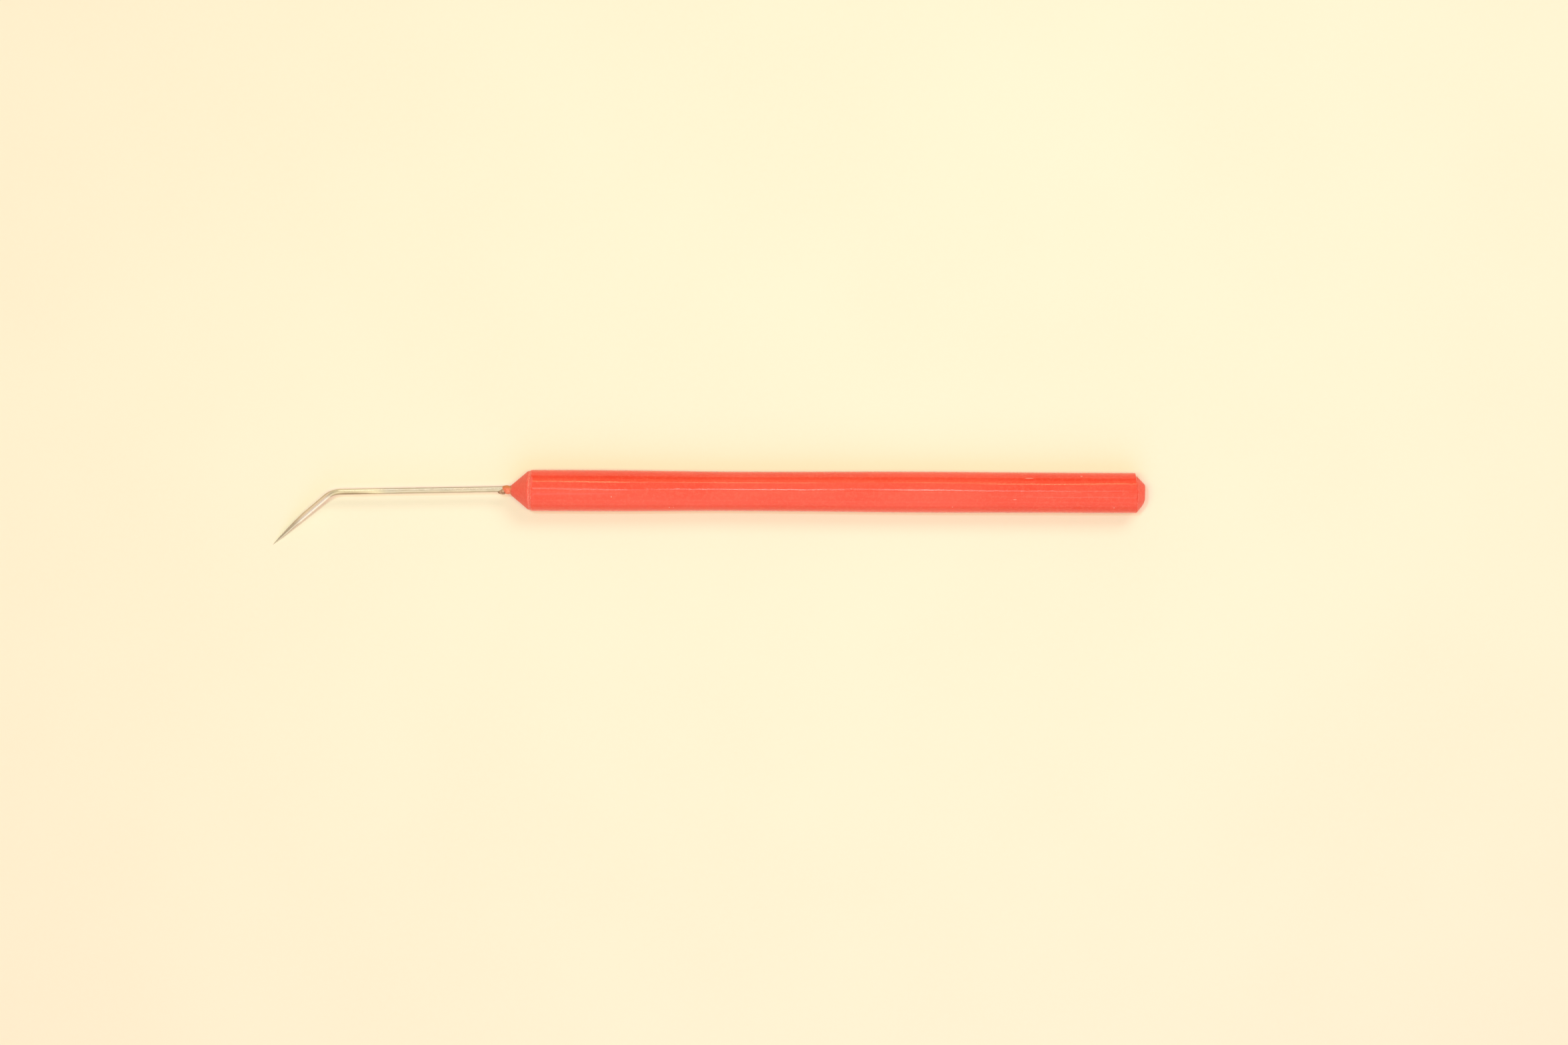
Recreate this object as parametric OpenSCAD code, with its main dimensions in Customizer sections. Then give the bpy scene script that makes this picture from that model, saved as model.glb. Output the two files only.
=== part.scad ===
// Bent needle tool: a steel needle with a cranked point, bonded into the coned nose of a
// slim plastic handle. The handle is a tube closed by a nose plug and an end plug.
//
// The tool lies on a flat surface at z = 0. Its handle runs along X with the nose towards -X,
// and the crank of the needle points towards -Y. The pieces are modelled on the tool's own
// axis, with the crank in the XY plane and x = 0 at the front end of the tube. The module
// named placed then rolls them about that axis until the point touches the surface.

/* [Handle tube] */
// Length of the tube between its cut ends
tube_len = 96.9; // [88:0.1:125]
// Outside diameter of the straight land at the front
tube_front_d = 6.62; // [6.5:0.02:8]
// Outside diameter at the waist
tube_waist_d = 6.3; // [5.6:0.02:6.5]
// Outside diameter at the fullest place behind the waist
tube_belly_d = 6.57; // [6.1:0.01:8]
// Outside diameter of the straight land at the rear
tube_rear_d = 6.46; // [6.42:0.01:8]
// Length of the straight land at the front
front_land_len = 10; // [5:0.5:18]
// Distance from the front end to the waist
waist_at = 33; // [24:0.5:42]
// Distance from the front end to the fullest place
belly_at = 63; // [50:0.5:68]
// Length of the straight land at the rear
rear_land_len = 14; // [8:0.5:19]
// Diameter of the bore through the tube
tube_bore_d = 4.2; // [3.4:0.05:4.6]
// Edge break round the front rim
rim_break = 0.08; // [0.04:0.01:0.15]

/* [Nose plug] */
// Length of the nose from its shoulder to its mouth
nose_len = 2.95; // [2.4:0.05:4]
// Diameter of the nose at its shoulder
nose_d = 6.18; // [5.4:0.02:6.3]
// Diameter of the nose at its mouth
mouth_d = 1.68; // [1.64:0.02:2.4]
// Length of the straight land between the cone and the shoulder
nose_land_len = 0.27; // [0.2:0.01:0.5]
// Radius that rounds the cone into the land
nose_round = 0.6; // [0.2:0.05:0.8]
// Length of the spigot inside the tube
nose_spigot_len = 20; // [18:0.5:26]
// Diameter of the blind bore that takes the needle
needle_bore_d = 1.56; // [1.5:0.01:1.6]
// Depth of the blind bore from the mouth
needle_bore_depth = 16.6; // [16.2:0.1:20]

/* [End plug] */
// Length of the head behind the tube
head_len = 1.34; // [0.9:0.02:2.2]
// Diameter of the head where it meets the tube
head_d = 5.83; // [5.4:0.01:5.88]
// Diameter of the end face before its edge is rounded
head_face_d = 2.8; // [2.2:0.05:3.8]
// Radius that rounds the edge of the end face
head_round = 0.35; // [0.1:0.05:0.5]
// Distance that the head sits off the tube's axis, towards the crank
head_offset = 0.27; // [0.1:0.01:0.3]
// Slope of the end face from square
end_face_slope = 3.5; // [1:0.5:5]
// Length of the spigot inside the tube
end_spigot_len = 12; // [8:0.5:18]
// Length of the bevel that the head's cut leaves on the tube's rear rim
rim_cut_len = 0.33; // [0.1:0.01:0.5]
// Drop of that bevel towards the head
rim_cut_drop = 0.6; // [0.4:0.02:0.9]

/* [Needle] */
// Diameter of the wire
wire_d = 0.91; // [0.8:0.01:0.96]
// Distance from the mouth of the nose to the corner of the crank
needle_reach = 28.8; // [20:0.1:40]
// Lean of the needle towards the crank
lean = 1.26; // [0.4:0.02:2.4]
// Radius of the slight bend at the neck that gives the lean
neck_bend_r = 20; // [10:1:25]
// Angle of the crank
crank_angle = 40; // [30:0.2:60]
// Radius of the crank on the wire's centre line
crank_r = 3.8; // [2:0.1:8]
// Length of the leg from the corner of the crank to the point
leg_len = 13.38; // [11:0.02:16]
// Length of the ground taper
taper_len = 7.4; // [5:0.1:8]
// Distance of the point from the leg's axis, towards the inside of the crank
point_offset = 0.33; // [0.1:0.01:0.38]
// Diameter left at the very point
point_d = 0.04; // [0.02:0.01:0.1]
// Distance of the shank from the tube's axis, away from the crank
shank_offset = 0.22; // [0.05:0.01:0.24]
// Depth of the shank in the nose, tail included
shank_depth = 16; // [12:0.1:16.2]
// Length of the flattened tail that keys the shank in the bond
tail_len = 3; // [1.5:0.1:5]
// Width of the flattened tail
tail_w = 1.06; // [0.98:0.01:1.12]
// Thickness of the flattened tail
tail_t = 0.5; // [0.4:0.01:0.56]

/* [Bond] */
// Length of the neck of resin squeezed out of the mouth
neck_len = 1.25; // [0.8:0.05:2]
// Diameter of that neck
neck_d = 1.48; // [1.46:0.01:1.58]
// Length over which the neck thins out along the needle
neck_taper_len = 0.6; // [0.3:0.05:0.75]
// Diameter at the thin end of the neck
neck_tip_d = 0.9; // [0.8:0.02:1.1]
// Thickness of the bead between the nose and the tube
front_bead_t = 0.2; // [0.1:0.01:0.4]
// Diameter of that bead
front_bead_d = 6.3; // [5.8:0.02:6.4]
// Thickness of the bead between the tube and the end plug
rear_bead_t = 0.12; // [0.06:0.01:0.3]
// Distance that the rear bead's rim stands back from the head's rim
rear_bead_inset = 0.03; // [0.01:0.01:0.1]
// Length of the drop of residue on the needle
drop_len = 1.4; // [1:0.05:2.4]
// Diameter of the drop
drop_d = 0.66; // [0.5:0.02:0.9]
// Distance from the mouth of the nose to the middle of the drop
drop_at = 1.6; // [1.4:0.05:2.2]
// Distance of the drop's axis from the wire's axis, towards the crank
drop_offset = 0.56; // [0.45:0.01:0.65]
// Clearance between neighbouring pieces
fit_gap = 0.02; // [0.01:0.005:0.03]

/* [Hidden] */

$fn = 96;
// Steps along an eased length of the tube, round a corner or bead, along the taper and the drop
ease_steps = 14;
round_steps = 6;
taper_steps = 9;
drop_steps = 10;
// Exponents of the ground taper: its belly, and how its steps crowd towards the point
taper_belly = 1.7;
taper_crowd = 1.2;
// Distance that the grinding starts outside the wire's skin
grind_over = 0.012;
// Distance that the tube's rear bevel starts outside the head's rim
rim_cut_lip = 0.05;
// Chamfer that leads each spigot into the bore
lead_in = 0.4;
// Share of its thickness by which a bead bulges at the rim
bead_bulge = 0.4;
// Largest share of a land or face that a rounded corner may take up
round_share = 0.95;
// Distance that a cutting shape reaches past what it cuts
over = 1;
// Share by which the balls that join the wire's straights and bends are thicker than the wire
ball_swell = 0.015;
// Distance that a straight stops short of the middle of such a ball
seam = 0.01;

bore_r = tube_bore_d / 2;
spigot_r = bore_r - fit_gap;
mouth_x = -(front_bead_t + nose_len);
head_x = tube_len + rear_bead_t;
end_x = head_x + head_len;
cone_angle = atan((nose_d - mouth_d) / 2 / (nose_len - nose_land_len));
head_angle = atan((head_d - head_face_d) / 2 / head_len);

// Length of wire that each bend takes up before and after its corner
neck_run = neck_bend_r * tan(lean / 2);
crank_run = crank_r * tan(crank_angle / 2);

// Corner of the crank and the very point, on the tool's own axis
leg_angle = lean + crank_angle;
corner_x = mouth_x - needle_reach;
corner_y = shank_offset - (needle_reach - neck_run) * tan(lean);
point_x = corner_x - leg_len * cos(leg_angle) + point_offset * sin(leg_angle);
point_y = corner_y - leg_len * sin(leg_angle) - point_offset * cos(leg_angle);
straight_len = (needle_reach - neck_run) / cos(lean) - neck_run - crank_run;

// Where the tool lies: the widest land of the tube and the point both touch the surface
axis_z = max(tube_front_d, tube_belly_d, tube_rear_d) / 2;
roll = asin((axis_z - point_d / 2) / -point_y);
axis_x = -(point_x + end_x) / 2;
axis_y = (-point_y * cos(roll) - axis_z) / 2;

// Stand the finished piece where it lies
module placed() {
    translate([axis_x, axis_y, axis_z])
        rotate([roll, 0, 0])
            children();
}

// Turn a shape made along Z so that it runs along X
module along_x() {
    rotate([0, 90, 0])
        children();
}

// A rod along X between two places
module rod(from, to, d) {
    translate([from, 0, 0])
        along_x()
            cylinder(d = d, h = to - from);
}

// A round body about the X axis, from points of [place along the axis, radius]
module turned(points) {
    along_x()
        rotate_extrude()
            polygon([for (p = points) [p[1], p[0]]]);
}

// A smooth rise from 0 to 1 with a level start and finish
function ease(t) = (1 - cos(180 * t)) / 2;

// Outline points from one place and diameter to the next
function eased(x0, d0, x1, d1) = [
    for (i = [0 : ease_steps])
        let (t = i / ease_steps)
        [x0 + (x1 - x0) * t, (d0 + (d1 - d0) * ease(t)) / 2]
];

// Outline points round a corner, where the slope falls from angle a to angle b
function rounded(x, y, r, a, b) =
    let (
        run = r * tan((a - b) / 2),
        centre_x = x - run * cos(a) + r * sin(a),
        centre_y = y - run * sin(a) - r * cos(a)
    )
    [
        for (i = [0 : round_steps])
            let (s = a + (b - a) * i / round_steps)
            [centre_x - r * sin(s), centre_y + r * cos(s)]
    ];

// Outline points of a bead's bulging rim
function bulged(x0, x1, r) =
    let (bulge = bead_bulge * (x1 - x0))
    [
        for (i = [0 : round_steps])
            let (t = i / round_steps)
            [x0 + (x1 - x0) * t, r - bulge + bulge * sin(180 * t)]
    ];

// Wire along -X for a length, with what follows at its end
module run(len, d) {
    rod(-len + seam, -seam, d);
    translate([-len, 0, 0])
        children();
}

// Wire that turns towards -Y through an angle, with what follows at its end
module bend(r, angle, d) {
    ball_d = d * (1 + ball_swell);
    along_x()
        sphere(d = ball_d);
    translate([0, -r, 0]) {
        rotate([0, 0, 90])
            rotate_extrude(angle = angle)
                translate([r, 0])
                    circle(d = d);
        rotate([0, 0, angle])
            translate([0, r, 0]) {
                along_x()
                    sphere(d = ball_d);
                children();
            }
    }
}

// The leg along -X: wire for a length, then the ground taper down to the point
module leg(len) {
    slant = norm([taper_len, point_offset]);
    base_r = wire_d / 2 + grind_over;
    back = len + over;
    skin = [
        for (i = [taper_steps : -1 : 0])
            let (u = pow(i / taper_steps, taper_crowd))
            [-slant * u, max(point_d / 2, base_r * (1 - pow(u, taper_belly)))]
    ];
    intersection() {
        rod(-len - taper_len - over, -seam, wire_d);
        translate([-len, 0, 0])
            rotate([0, 0, atan(point_offset / taper_len)])
                turned(concat(
                    [[-slant, 0]],
                    skin,
                    [[over, base_r + over], [back, base_r + over], [back, 0]]
                ));
    }
}

// The shank in the bond with its flattened tail, grown all round by extra
module shank(extra = 0) {
    tail_x = mouth_x + shank_depth - tail_len;
    front_x = tail_x - extra;
    back_x = mouth_x + shank_depth + extra;
    rod(mouth_x + seam, tail_x + tail_t + extra, wire_d + 2 * extra);
    intersection() {
        rod(front_x, back_x, tail_w + 2 * extra);
        translate([front_x, -tail_t / 2 - extra, -tail_w])
            cube([back_x - front_x, tail_t + 2 * extra, 2 * tail_w]);
    }
}

// The stretch of needle that the resin holds, grown by the clearance
module needle_space() {
    grown_d = wire_d + 2 * fit_gap;
    translate([0, shank_offset, 0]) {
        shank(fit_gap);
        translate([mouth_x, 0, 0])
            bend(neck_bend_r, lean, grown_d)
                run(drop_at + drop_len, grown_d);
    }
}

// The neck of resin in front of the mouth, grown all round by extra
module neck(extra = 0) {
    front_x = mouth_x - neck_len;
    turned([
        [front_x - extra, 0],
        [front_x - extra, neck_tip_d / 2 + extra],
        [front_x + neck_taper_len - extra, neck_d / 2 + extra],
        [mouth_x, neck_d / 2 + extra],
        [mouth_x, 0]
    ]);
}

// The bevel round the tube's rear rim, on the axis of the head
module rim_cut() {
    lip_r = head_d / 2 + rim_cut_lip;
    outer_r = tube_rear_d;
    translate([0, -head_offset, 0])
        turned([
            [tube_len - rim_cut_len, lip_r + rim_cut_drop],
            [tube_len, lip_r],
            [tube_len + over, lip_r],
            [tube_len + over, outer_r],
            [tube_len - rim_cut_len, outer_r]
        ]);
}

// Steel wire: flattened tail, shank, slight neck bend, straight, crank and ground leg
module needle() {
    color([0.78, 0.75, 0.70])
        placed()
            translate([0, shank_offset, 0]) {
                shank();
                translate([mouth_x, 0, 0])
                    bend(neck_bend_r, lean, wire_d)
                        run(straight_len, wire_d)
                            bend(crank_r, crank_angle, wire_d)
                                leg(leg_len - crank_run - taper_len);
            }
}

// Brown drop of old residue that hangs on the crank's side of the needle at the neck
module neck_residue() {
    half = drop_len / 2;
    wire_y = shank_offset - (drop_at - neck_run) * tan(lean);
    color([0.60, 0.44, 0.27])
        placed()
            difference() {
                translate([mouth_x - drop_at, wire_y - drop_offset, 0])
                    turned([
                        for (i = [0 : drop_steps])
                            let (a = 180 * i / drop_steps)
                            [-half * cos(a), drop_d / 2 * sin(a)]
                    ]);
                needle_space();
                neck(fit_gap);
            }
}

// Cured resin: it fills the blind bore round the shank and stands out of the mouth as a neck
module bond_sleeve() {
    color([0.93, 0.52, 0.30])
        placed()
            difference() {
                union() {
                    neck();
                    rod(mouth_x, mouth_x + needle_bore_depth - fit_gap, needle_bore_d - 2 * fit_gap);
                }
                needle_space();
            }
}

// Coned nose with its spigot and the blind bore for the needle
module nose_plug() {
    shoulder_x = -front_bead_t;
    corner_r = min(nose_round, round_share * nose_land_len / tan(cone_angle / 2));
    color([0.90, 0.30, 0.22])
        placed()
            difference() {
                turned(concat(
                    [[mouth_x, 0], [mouth_x, mouth_d / 2]],
                    rounded(shoulder_x - nose_land_len, nose_d / 2, corner_r, cone_angle, 0),
                    [
                        [shoulder_x, nose_d / 2],
                        [shoulder_x, spigot_r],
                        [nose_spigot_len - lead_in, spigot_r],
                        [nose_spigot_len, spigot_r - lead_in],
                        [nose_spigot_len, 0]
                    ]
                ));
                rod(mouth_x - over, mouth_x + needle_bore_depth, needle_bore_d);
            }
}

// Pale bead of adhesive squeezed out between the nose and the tube
module front_bond_ring() {
    color([0.98, 0.62, 0.50])
        placed()
            turned(concat(
                [[-front_bead_t, bore_r]],
                bulged(-front_bead_t, 0, front_bead_d / 2),
                [[0, bore_r]]
            ));
}

// Handle tube: straight lands at both ends, a waist and a fuller place between them
module handle_tube() {
    front_r = tube_front_d / 2;
    color([0.96, 0.30, 0.20])
        placed()
            difference() {
                turned(concat(
                    [[0, bore_r], [0, front_r - rim_break], [rim_break, front_r]],
                    eased(front_land_len, tube_front_d, waist_at, tube_waist_d),
                    eased(waist_at, tube_waist_d, belly_at, tube_belly_d),
                    eased(belly_at, tube_belly_d, tube_len - rear_land_len, tube_rear_d),
                    [[tube_len, tube_rear_d / 2], [tube_len, bore_r]]
                ));
                rim_cut();
            }
}

// Pale bead of adhesive between the tube and the head of the end plug
module rear_bond_ring() {
    color([0.97, 0.55, 0.42])
        placed()
            difference() {
                translate([0, -head_offset, 0])
                    turned(concat(
                        [[tube_len, 0]],
                        bulged(tube_len, head_x, head_d / 2 - rear_bead_inset),
                        [[head_x, 0]]
                    ));
                rod(tube_len - over, head_x + over, tube_bore_d);
            }
}

// End plug: a bevelled head, set a little off the axis, on a spigot
module end_plug() {
    face_r = head_face_d / 2;
    corner_r = min(head_round, round_share * face_r / tan((90 - head_angle) / 2));
    spigot_x = tube_len - end_spigot_len;
    color([0.92, 0.32, 0.23])
        placed() {
            turned([
                [spigot_x, 0],
                [spigot_x, spigot_r - lead_in],
                [spigot_x + lead_in, spigot_r],
                [head_x, spigot_r],
                [head_x, 0]
            ]);
            translate([0, -head_offset, 0])
                difference() {
                    turned(concat(
                        [[head_x, 0], [head_x, head_d / 2]],
                        rounded(end_x, face_r, corner_r, -head_angle, -90),
                        [[end_x, 0]]
                    ));
                    translate([end_x, -face_r, 0])
                        rotate([0, 0, end_face_slope])
                            translate([0, -head_d, -head_d])
                                cube(2 * head_d);
                }
        }
}

needle();
neck_residue();
bond_sleeve();
nose_plug();
front_bond_ring();
handle_tube();
rear_bond_ring();
end_plug();
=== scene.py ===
"""A bent needle tool on cream paper: a red plastic handle with a cranked steel needle.

Each piece is modelled about the tool's own axis: along X, with the front end of the tube at
x = 0, the nose towards -X and the crank towards -Y. lay_down() then rolls it into the place
where the CAD frame lies. Lengths are millimetres until MM turns them into metres.
"""

from math import atan, atan2, cos, pi, radians, sin, sqrt, tan

import bpy
from mathutils import Matrix, Vector


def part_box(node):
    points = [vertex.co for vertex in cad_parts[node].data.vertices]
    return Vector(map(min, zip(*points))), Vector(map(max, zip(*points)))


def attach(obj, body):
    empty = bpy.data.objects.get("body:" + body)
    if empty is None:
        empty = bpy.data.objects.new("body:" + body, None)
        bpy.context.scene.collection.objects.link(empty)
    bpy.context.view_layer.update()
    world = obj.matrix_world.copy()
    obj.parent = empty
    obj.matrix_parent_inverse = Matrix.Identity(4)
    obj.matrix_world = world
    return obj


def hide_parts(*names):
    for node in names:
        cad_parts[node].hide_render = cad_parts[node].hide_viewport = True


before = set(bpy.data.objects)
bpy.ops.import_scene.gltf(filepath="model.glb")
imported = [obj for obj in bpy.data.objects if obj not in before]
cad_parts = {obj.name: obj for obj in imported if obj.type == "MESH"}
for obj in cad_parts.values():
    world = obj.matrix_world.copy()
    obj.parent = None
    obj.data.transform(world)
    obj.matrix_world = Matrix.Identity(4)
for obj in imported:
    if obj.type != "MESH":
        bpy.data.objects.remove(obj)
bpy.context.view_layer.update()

MM = 0.001
MERGE = 1e-7

# ---- The frame

tube_low, tube_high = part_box("handle_tube")
AXIS = Vector((tube_low.x, (tube_low.y + tube_high.y) / 2, (tube_low.z + tube_high.z) / 2))
TUBE_LEN = (tube_high.x - tube_low.x) / MM

point = min((v.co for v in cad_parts["needle"].data.vertices), key=lambda co: co.x)
ROLL = atan2(AXIS.z - point.z, AXIS.y - point.y)

# ---- Sizes

# Handle tube: diameters, and where they are met behind its front end
FRONT_D = 6.62
WAIST_D = 6.3
BELLY_D = 6.57
REAR_D = 6.46
BORE_D = 4.2
FRONT_LAND = 10
WAIST_AT = 33
BELLY_AT = 63
REAR_LAND = 14
RIM_BREAK = 0.08
# Bevel on the rear rim, on the side where the head sits lower
RIM_CUT = 0.24
RIM_CUT_DROP = 0.6
RIM_CUT_LIP = 0.05

# Nose plug and the beads of resin at both seams
NOSE_LEN = 2.95
NOSE_D = 6.18
NOSE_LAND = 0.27
NOSE_ROUND = 0.6
MOUTH_D = 1.68
NEEDLE_BORE_D = 1.56
NEEDLE_BORE_DEPTH = 16.6
NOSE_SPIGOT = 20
LEAD_IN = 0.4
FRONT_BEAD = 0.2
FRONT_BEAD_D = 6.3
REAR_BEAD = 0.12

# End plug
HEAD_D = 5.83
HEAD_OFFSET = 0.27
FACE_HOLLOW_R = 6
FACE_HOLLOW_AT = 1.29
END_SPIGOT = 12

# Needle: straight, crank, leg and ground point, then its shank and flattened tail
WIRE_D = 0.91
REACH = 28.8
LEAN = radians(1.26)
NECK_BEND_R = 20
CRANK = radians(40)
CRANK_R = 3.8
LEG = 13.38
TAPER = 7.4
POINT_OFFSET = 0.33
POINT_D = 0.034
POINT_FULLNESS = 1.7
SHANK_OFFSET = 0.22
SHANK_DEPTH = 16
TAIL = 3
TAIL_T = 0.5
TAIL_W = 1.06
TAIL_BLEND = 0.6

# Clearance between pieces that meet
GAP = 0.02

MOUTH_X = -(FRONT_BEAD + NOSE_LEN)
HEAD_X = TUBE_LEN + REAR_BEAD
SPIGOT_R = BORE_D / 2 - GAP
CONE = atan((NOSE_D - MOUTH_D) / 2 / (NOSE_LEN - NOSE_LAND))


# ---- Modelling tools

def clear_selection():
    bpy.ops.object.select_all(action="DESELECT")


def edit():
    """Go to edit mode with the whole mesh selected."""
    bpy.ops.object.mode_set(mode="EDIT")
    bpy.ops.mesh.select_mode(type="VERT")
    bpy.ops.mesh.select_all(action="SELECT")


def weld(piece):
    """Join what meets and turn every face outwards."""
    edit()
    bpy.ops.mesh.remove_doubles(threshold=MERGE)
    bpy.ops.mesh.normals_make_consistent(inside=False)
    bpy.ops.object.mode_set(mode="OBJECT")
    return piece


def turn(name, outline, sides, offset=0.0):
    """Spin an outline of (place along the axis, radius) points into a closed round body."""
    clear_selection()
    x, r = outline[0]
    bpy.ops.mesh.primitive_plane_add(size=MM, location=(x * MM, (r + offset) * MM, 0))
    piece = bpy.context.object
    piece.name = name
    bpy.ops.object.transform_apply(location=True)
    edit()
    bpy.ops.mesh.merge(type="CENTER")
    for (x0, r0), (x1, r1) in zip(outline, outline[1:]):
        step = ((x1 - x0) * MM, (r1 - r0) * MM, 0)
        bpy.ops.mesh.extrude_vertices_move(TRANSFORM_OT_translate={"value": step})
    bpy.ops.mesh.select_all(action="SELECT")
    bpy.ops.mesh.spin(steps=sides, angle=2 * pi, center=(0, offset * MM, 0), axis=(1, 0, 0))
    bpy.ops.object.mode_set(mode="OBJECT")
    return weld(piece)


def first_ring(name, x, y, z, r, sides):
    """A filled ring across the X axis, in edit mode and ready to be extruded."""
    clear_selection()
    bpy.ops.mesh.primitive_circle_add(
        vertices=sides, radius=r * MM, location=(x * MM, y * MM, z * MM),
        rotation=(0, pi / 2, 0), fill_type="NGON",
    )
    piece = bpy.context.object
    piece.name = name
    bpy.ops.object.transform_apply(location=True, rotation=True)
    edit()
    return piece


def draw_out(name, rings, sides):
    """Extrude a body ring by ring, each (place along X, middle in Y and Z, radius in Y and Z)."""
    x, y, z, a, b = rings[0]
    piece = first_ring(name, x, y, z, a, sides)
    middle = (x * MM, y * MM, z * MM)
    bpy.ops.transform.resize(value=(1, 1, b / a), center_override=middle)
    for (x0, y0, z0, a0, b0), (x1, y1, z1, a1, b1) in zip(rings, rings[1:]):
        step = ((x1 - x0) * MM, (y1 - y0) * MM, (z1 - z0) * MM)
        bpy.ops.mesh.extrude_region_move(TRANSFORM_OT_translate={"value": step})
        middle = (x1 * MM, y1 * MM, z1 * MM)
        bpy.ops.transform.resize(value=(1, a1 / a0, b1 / b0), center_override=middle)
    bpy.ops.object.mode_set(mode="OBJECT")
    return weld(piece)


def cut(piece, cutter):
    """Take a cutter's shape out of a piece, and throw the cutter away."""
    clear_selection()
    bpy.context.view_layer.objects.active = piece
    carve = piece.modifiers.new("cut", "BOOLEAN")
    carve.operation = "DIFFERENCE"
    carve.solver = "EXACT"
    carve.object = cutter
    bpy.ops.object.modifier_apply(modifier=carve.name)
    bpy.data.objects.remove(cutter)


def ruffle(piece, height, size):
    """Press the surface in, unevenly, by at most a height."""
    cloud = bpy.data.textures.new(piece.name + "_cloud", type="CLOUDS")
    cloud.noise_scale = size * MM
    cloud.noise_depth = 1
    press = piece.modifiers.new("ruffle", "DISPLACE")
    press.texture = cloud
    press.texture_coords = "LOCAL"
    press.strength = height * MM
    press.mid_level = 1
    bpy.context.view_layer.objects.active = piece
    bpy.ops.object.modifier_apply(modifier=press.name)


def lay_down(piece, finish, slot, *nodes, smooth=40):
    """Roll a piece into its place on the surface, finish it and let it stand for its nodes."""
    clear_selection()
    piece.select_set(True)
    bpy.context.view_layer.objects.active = piece
    piece.rotation_euler = (ROLL, 0, 0)
    piece.location = AXIS
    bpy.ops.object.transform_apply(location=True, rotation=True, scale=True)
    bpy.ops.object.shade_smooth_by_angle(angle=radians(smooth))
    piece.data.materials.clear()
    piece.data.materials.append(finish)
    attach(piece, "root")
    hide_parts(*nodes)


def ease(t):
    """Share of the way at a share of the time, slow at both ends."""
    return (1 - cos(pi * t)) / 2


def eased(x0, d0, x1, d1, steps):
    """Outline points on a smooth curve from one diameter to the next."""
    return [
        (x0 + (x1 - x0) * i / steps, (d0 + (d1 - d0) * ease(i / steps)) / 2)
        for i in range(steps + 1)
    ]


def rounded(x, y, r, a, b, steps=8):
    """Outline points round a corner at (x, y), where the slope falls from angle a to b."""
    run = r * tan((a - b) / 2)
    mid_x = x - run * cos(a) + r * sin(a)
    mid_y = y - run * sin(a) - r * cos(a)
    turns = [a + (b - a) * i / steps for i in range(steps + 1)]
    return [(mid_x - r * sin(s), mid_y + r * cos(s)) for s in turns]


def straight(x0, r0, x1, r1, steps):
    """Outline points between two places, without the two themselves."""
    return [
        (x0 + (x1 - x0) * i / steps, r0 + (r1 - r0) * i / steps) for i in range(1, steps)
    ]


# ---- Pieces

def make_tube():
    """Tube with straight lands, a waist and a belly, and a bevel on one side of its rear rim."""
    front_r, rear_r = FRONT_D / 2, REAR_D / 2
    belly_end = TUBE_LEN - REAR_LAND
    outline = [(0, BORE_D / 2), (0, front_r - RIM_BREAK)]
    outline += [(0.012, front_r - 0.04), (0.04, front_r - 0.012), (RIM_BREAK, front_r)]
    outline += eased(0.4, FRONT_D, FRONT_LAND, FRONT_D, 10)
    outline += eased(FRONT_LAND, FRONT_D, WAIST_AT, WAIST_D, 24)[1:]
    outline += eased(WAIST_AT, WAIST_D, BELLY_AT, BELLY_D, 30)[1:]
    outline += eased(BELLY_AT, BELLY_D, belly_end, REAR_D, 20)[1:]
    outline += eased(belly_end, REAR_D, TUBE_LEN - 0.5, REAR_D, 14)[1:]
    outline += [(TUBE_LEN - 0.04, rear_r), (TUBE_LEN - 0.01, rear_r - 0.01)]
    outline += [(TUBE_LEN, rear_r - 0.03), (TUBE_LEN, BORE_D / 2)]
    outline += [(TUBE_LEN / 2, BORE_D / 2), (0, BORE_D / 2)]
    tube = turn("handle", outline, sides=160)
    ruffle(tube, height=0.012, size=9)
    lip = HEAD_D / 2 + RIM_CUT_LIP
    foot = TUBE_LEN - RIM_CUT
    cut(tube, turn("rim_cutter", [
        (foot, lip + RIM_CUT_DROP), (TUBE_LEN, lip), (TUBE_LEN + 1, lip),
        (TUBE_LEN + 1, REAR_D), (foot, REAR_D), (foot, lip + RIM_CUT_DROP),
    ], sides=160, offset=-HEAD_OFFSET))
    return tube


def make_nose():
    """Coned nose, its spigot in the tube and the blind bore that takes the needle."""
    mouth_r, bore_r = MOUTH_D / 2, NEEDLE_BORE_D / 2
    shoulder = -FRONT_BEAD
    corner = min(NOSE_ROUND, 0.95 * NOSE_LAND / tan(CONE / 2))
    flank = rounded(shoulder - NOSE_LAND, NOSE_D / 2, corner, CONE, 0)
    outline = [(MOUTH_X + NEEDLE_BORE_DEPTH, 0), (MOUTH_X + NEEDLE_BORE_DEPTH, bore_r)]
    outline += [(MOUTH_X, bore_r), (MOUTH_X, mouth_r)]
    outline += straight(MOUTH_X, mouth_r, *flank[0], 12) + flank
    outline += [(shoulder, NOSE_D / 2), (shoulder, SPIGOT_R)]
    outline += [(NOSE_SPIGOT - LEAD_IN, SPIGOT_R)]
    outline += [(NOSE_SPIGOT, SPIGOT_R - LEAD_IN), (NOSE_SPIGOT, 0)]
    return turn("nose", outline, sides=128)


def make_front_bead():
    """Ragged bead with a lip against the nose, a lip against the tube and a groove between."""
    r, inner = FRONT_BEAD_D / 2, BORE_D / 2
    outline = [(-FRONT_BEAD, inner), (-FRONT_BEAD, r - 0.045), (-0.18, r - 0.02)]
    outline += [(-0.15, r - 0.02), (-0.11, r - 0.04), (-0.08, r - 0.04), (-0.04, r)]
    outline += [(-0.015, r + 0.02), (0, r + 0.02), (0, inner), (-FRONT_BEAD, inner)]
    return turn("front_bead", outline, sides=240)


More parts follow.
